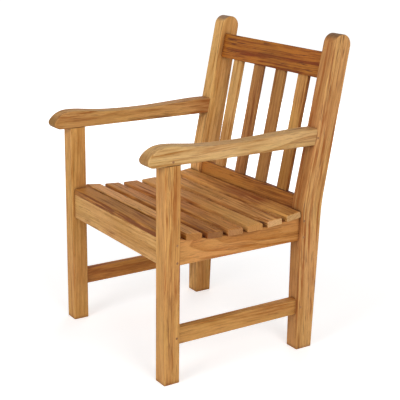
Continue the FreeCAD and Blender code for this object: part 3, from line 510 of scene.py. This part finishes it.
def makeBoardMaterial(name, node):
    cut = {**boardDefaults, **boards[name]}
    low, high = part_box(name)
    middle = [(a + b) / 2 for a, b in zip(low, high)]
    material, tree = startMaterial("teak " + name.replace("_", " "))
    shader = tree.nodes["Principled BSDF"]
    wood = addNode(tree, "ShaderNodeGroup", node_tree=teakGroup)
    feed(tree, wood.inputs["Place"], boardPlace(tree, cut, middle))
    for key in ("light", "dark", "streak"):
        feed(tree, wood.inputs[key.title()], toLinear(cut[key]))
    spot = addNode(tree, "ShaderNodeTexCoord").outputs["Object"]
    tone = makeRamp(tree, makeShare(tree, spot, cut["grain"], low, high), cut["tones"], "EASE")
    normal = addNode(tree, "ShaderNodeTexCoord").outputs["Normal"]
    contrast = 1.0
    # face shifts: painted shade above 0, painted light below 0, partly the face's own tone
    for way, amount, strength in zip(faceWays, cut["faceToneAndShade"], cut["contrast"]):
        facing = doVector(tree, "DOT_PRODUCT", normal, way)
        towards = makeRange(tree, facing, *boardFinish["sideFacing"])
        tone = doMath(tree, "MULTIPLY_ADD", towards, amount, tone)
        across = makeRange(tree, doMath(tree, "ABSOLUTE", facing), *boardFinish["sideFacing"])
        contrast = doMath(tree, "MULTIPLY_ADD", across, strength - 1, contrast)
    feed(tree, wood.inputs["Tone"], tone)
    for key in ("figure", "flecks", "streaks"):
        feed(tree, wood.inputs[key.title()], doMath(tree, "MULTIPLY", contrast, cut[key]))
    for key, label in (
        ("ringWidth", "Ring Width"), ("rings", "Rings"), ("bands", "Bands"),
        ("wander", "Wander"), ("rub", "Rub"),
    ):
        wood.inputs[label].default_value = cut[key]
    feed(tree, wood.inputs["Worn"], makeWear(tree))
    # painted shade in the corners and gaps where boards meet
    feed(tree, wood.inputs["Painted Shade"], makePaintedShade(tree))
    across = doMath(tree, "ABSOLUTE", doVector(tree, "DOT_PRODUCT", normal, cut["grain"]))
    endGrain = makeRange(tree, across, *boardFinish["endFacing"])
    feed(tree, wood.inputs["End Grain"], endGrain)
    tint = (*cut["ends"], 1)
    colour = mixColours(tree, endGrain, wood.outputs["Color"], tint, "MULTIPLY")
    feed(tree, shader.inputs["Base Color"], colour)
    feed(tree, shader.inputs["Roughness"], wood.outputs["Roughness"])
    shader.inputs["Specular IOR Level"].default_value = boardFinish["shine"]
    bump = addNode(tree, "ShaderNodeBump")
    bump.inputs["Strength"].default_value = boardFinish["bumpStrength"]
    bump.inputs["Distance"].default_value = boardFinish["bumpDepth"]
    feed(tree, bump.inputs["Height"], wood.outputs["Height"])
    feed(tree, shader.inputs["Normal"], bump.outputs[0])
    coat(node, material)


# The pegs show their end grain: fine dots and a slow change from peg to peg

pegLook = {
    # the last two: the colour and strength of a painted shadow round each peg's rim
    "light": (176, 124, 76), "dark": (128, 84, 48), "rimShade": (48, 28, 16), "rimShadeShare": 0.35,
    "dots": {"scales": (900, 900, 900), "detail": 3.0, "roughness": 0.6}, "dotShare": 0.5,
    "change": {"scales": (40, 40, 40), "detail": 1.0, "roughness": 0.5}, "changeShare": 0.8,
    "levels": (0.4, 0.9),
    "rough": (0.3, 0.7, 0.55, 0.75),  # two levels of the dots and the roughness at them
}


def makePegMaterial():
    material, tree = startMaterial("teak peg end grain")
    shader = tree.nodes["Principled BSDF"]
    spot = addNode(tree, "ShaderNodeTexCoord").outputs["Object"]
    dots = makeNoise(tree, spot, **pegLook["dots"]).outputs[0]
    change = makeNoise(tree, spot, **pegLook["change"]).outputs[0]
    level = doMath(tree, "MULTIPLY", dots, pegLook["dotShare"])
    level = doMath(tree, "MULTIPLY_ADD", change, pegLook["changeShare"], level)
    level = makeRange(tree, level, *pegLook["levels"])
    colour = mixColours(tree, level, toLinear(pegLook["light"]), toLinear(pegLook["dark"]))
    # painted shadow round the rim, where the peg meets the board round it
    rimShade = doMath(tree, "MULTIPLY", makePaintedShade(tree), pegLook["rimShadeShare"])
    colour = mixColours(tree, rimShade, colour, toLinear(pegLook["rimShade"]))
    feed(tree, shader.inputs["Base Color"], colour)
    feed(tree, shader.inputs["Roughness"], makeRange(tree, dots, *pegLook["rough"]))
    bump = addNode(tree, "ShaderNodeBump")
    bump.inputs["Distance"].default_value = boardFinish["bumpDepth"]
    feed(tree, bump.inputs["Height"], dots)
    feed(tree, shader.inputs["Normal"], bump.outputs[0])
    return material


pegMaterial = makePegMaterial()
for name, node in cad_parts.items():
    if name in boards:
        makeBoardMaterial(name, node)
    else:
        coat(node, pegMaterial)
print("materials ready:", len(boards), "boards and all pegs")

# Studio: a pale floor, a soft dome, two large lamps in front and one behind

studio = {
    "floorSize": 30.0, "floorTone": (0.8, 0.8, 0.8, 1),
    "floorGlow": (0.5, 0.8), "glowReach": (0.3, 2.6),  # near the chair and far from it, in metres
    "domeLight": (0.52, 0.26),  # at the horizon and straight up
    "lamps": (
        {"azimuth": 84, "elevation": 22, "distance": 3.2, "size": 1.8, "watts": 38, "gloss": True},
        {"azimuth": 16, "elevation": 22, "distance": 3.4, "size": 1.8, "watts": 46, "gloss": True},
        {"azimuth": 228, "elevation": 15, "distance": 3.8, "size": 2.6, "watts": 46, "gloss": False},
    ),
}
cameraSetup = {
    "azimuth": 56.949, "elevation": 15.719, "roll": 0.682, "distance": 3.0455,
    "target": (0.0, -0.0015, 0.45), "lens": 90.41, "shift": (0.0188, -0.0232),
}


def awayFrom(azimuth, elevation):  # direction towards a lamp or the camera
    a, e = math.radians(azimuth), math.radians(elevation)
    return Vector((math.sin(a) * math.cos(e), -math.cos(a) * math.cos(e), math.sin(e)))


def makeFloor():  # it glows where the camera sees it, so it is white and the shadow stays
    half = studio["floorSize"] / 2
    mesh = bpy.data.meshes.new("floor")
    corners = [(-half, -half, 0), (half, -half, 0), (half, half, 0), (-half, half, 0)]
    mesh.from_pydata(corners, [], [(0, 1, 2, 3)])
    floor = bpy.data.objects.new("floor", mesh)
    bpy.context.scene.collection.objects.link(floor)
    material, tree = startMaterial("pale floor")
    tree.nodes.clear()
    output = addNode(tree, "ShaderNodeOutputMaterial")
    diffuse = addNode(tree, "ShaderNodeBsdfDiffuse")
    diffuse.inputs["Color"].default_value = studio["floorTone"]
    glow = addNode(tree, "ShaderNodeEmission")
    spot = addNode(tree, "ShaderNodeTexCoord").outputs["Object"]
    away = doVector(tree, "LENGTH", spot)
    level = makeRange(tree, away, *studio["glowReach"], *studio["floorGlow"])
    feed(tree, glow.inputs["Strength"], doMath(tree, "MULTIPLY", makeSeen(tree), level))
    both = addNode(tree, "ShaderNodeAddShader")
    tree.links.new(diffuse.outputs[0], both.inputs[0])
    tree.links.new(glow.outputs[0], both.inputs[1])
    tree.links.new(both.outputs[0], output.inputs["Surface"])
    mesh.materials.append(material)


def makeWorld():  # white for the camera, softer as a light on the wood
    world = bpy.data.worlds.new("soft dome")
    bpy.context.scene.world = world
    world.use_nodes = True
    tree = world.node_tree
    tree.nodes.clear()
    output = addNode(tree, "ShaderNodeOutputWorld")
    sky = addNode(tree, "ShaderNodeBackground")
    sky.inputs["Color"].default_value = (1, 1, 1, 1)
    way = addNode(tree, "ShaderNodeTexCoord").outputs["Generated"]
    height = doVector(tree, "DOT_PRODUCT", way, (0, 0, 1))
    light = makeRange(tree, height, 0, 1, *studio["domeLight"], False)
    feed(tree, sky.inputs["Strength"], makeRange(tree, makeSeen(tree), 0, 1, light, 1, False))
    tree.links.new(sky.outputs[0], output.inputs["Surface"])


def makeLamps():
    target = Vector(cameraSetup["target"])
    for index, lamp in enumerate(studio["lamps"], 1):
        data = bpy.data.lights.new(f"lamp {index}", "AREA")
        data.shape = "DISK"
        data.size = lamp["size"]
        data.energy = lamp["watts"]
        light = bpy.data.objects.new(f"lamp {index}", data)
        towards = awayFrom(lamp["azimuth"], lamp["elevation"])
        light.location = target + towards * lamp["distance"]
        light.rotation_euler = towards.to_track_quat("Z", "Y").to_euler()
        light.visible_camera = False
        light.visible_glossy = lamp["gloss"]
        bpy.context.scene.collection.objects.link(light)


def makeCamera():
    data = bpy.data.cameras.new("camera")
    data.lens = cameraSetup["lens"]
    data.shift_x, data.shift_y = cameraSetup["shift"]
    data.clip_end = 100
    camera = bpy.data.objects.new("camera", data)
    back = awayFrom(cameraSetup["azimuth"], cameraSetup["elevation"])
    right = upZ.cross(back).normalized()
    up = back.cross(right)
    roll = math.radians(cameraSetup["roll"])
    side = right * math.cos(roll) + up * math.sin(roll)
    top = up * math.cos(roll) - right * math.sin(roll)
    turn = Matrix((side, top, back)).transposed().to_4x4()
    place = Vector(cameraSetup["target"]) + back * cameraSetup["distance"]
    camera.matrix_world = Matrix.Translation(place) @ turn
    bpy.context.scene.collection.objects.link(camera)
    bpy.context.scene.camera = camera


makeFloor()
makeWorld()
makeLamps()
makeCamera()
bpy.context.scene.view_settings.view_transform = "Standard"
print("studio ready")
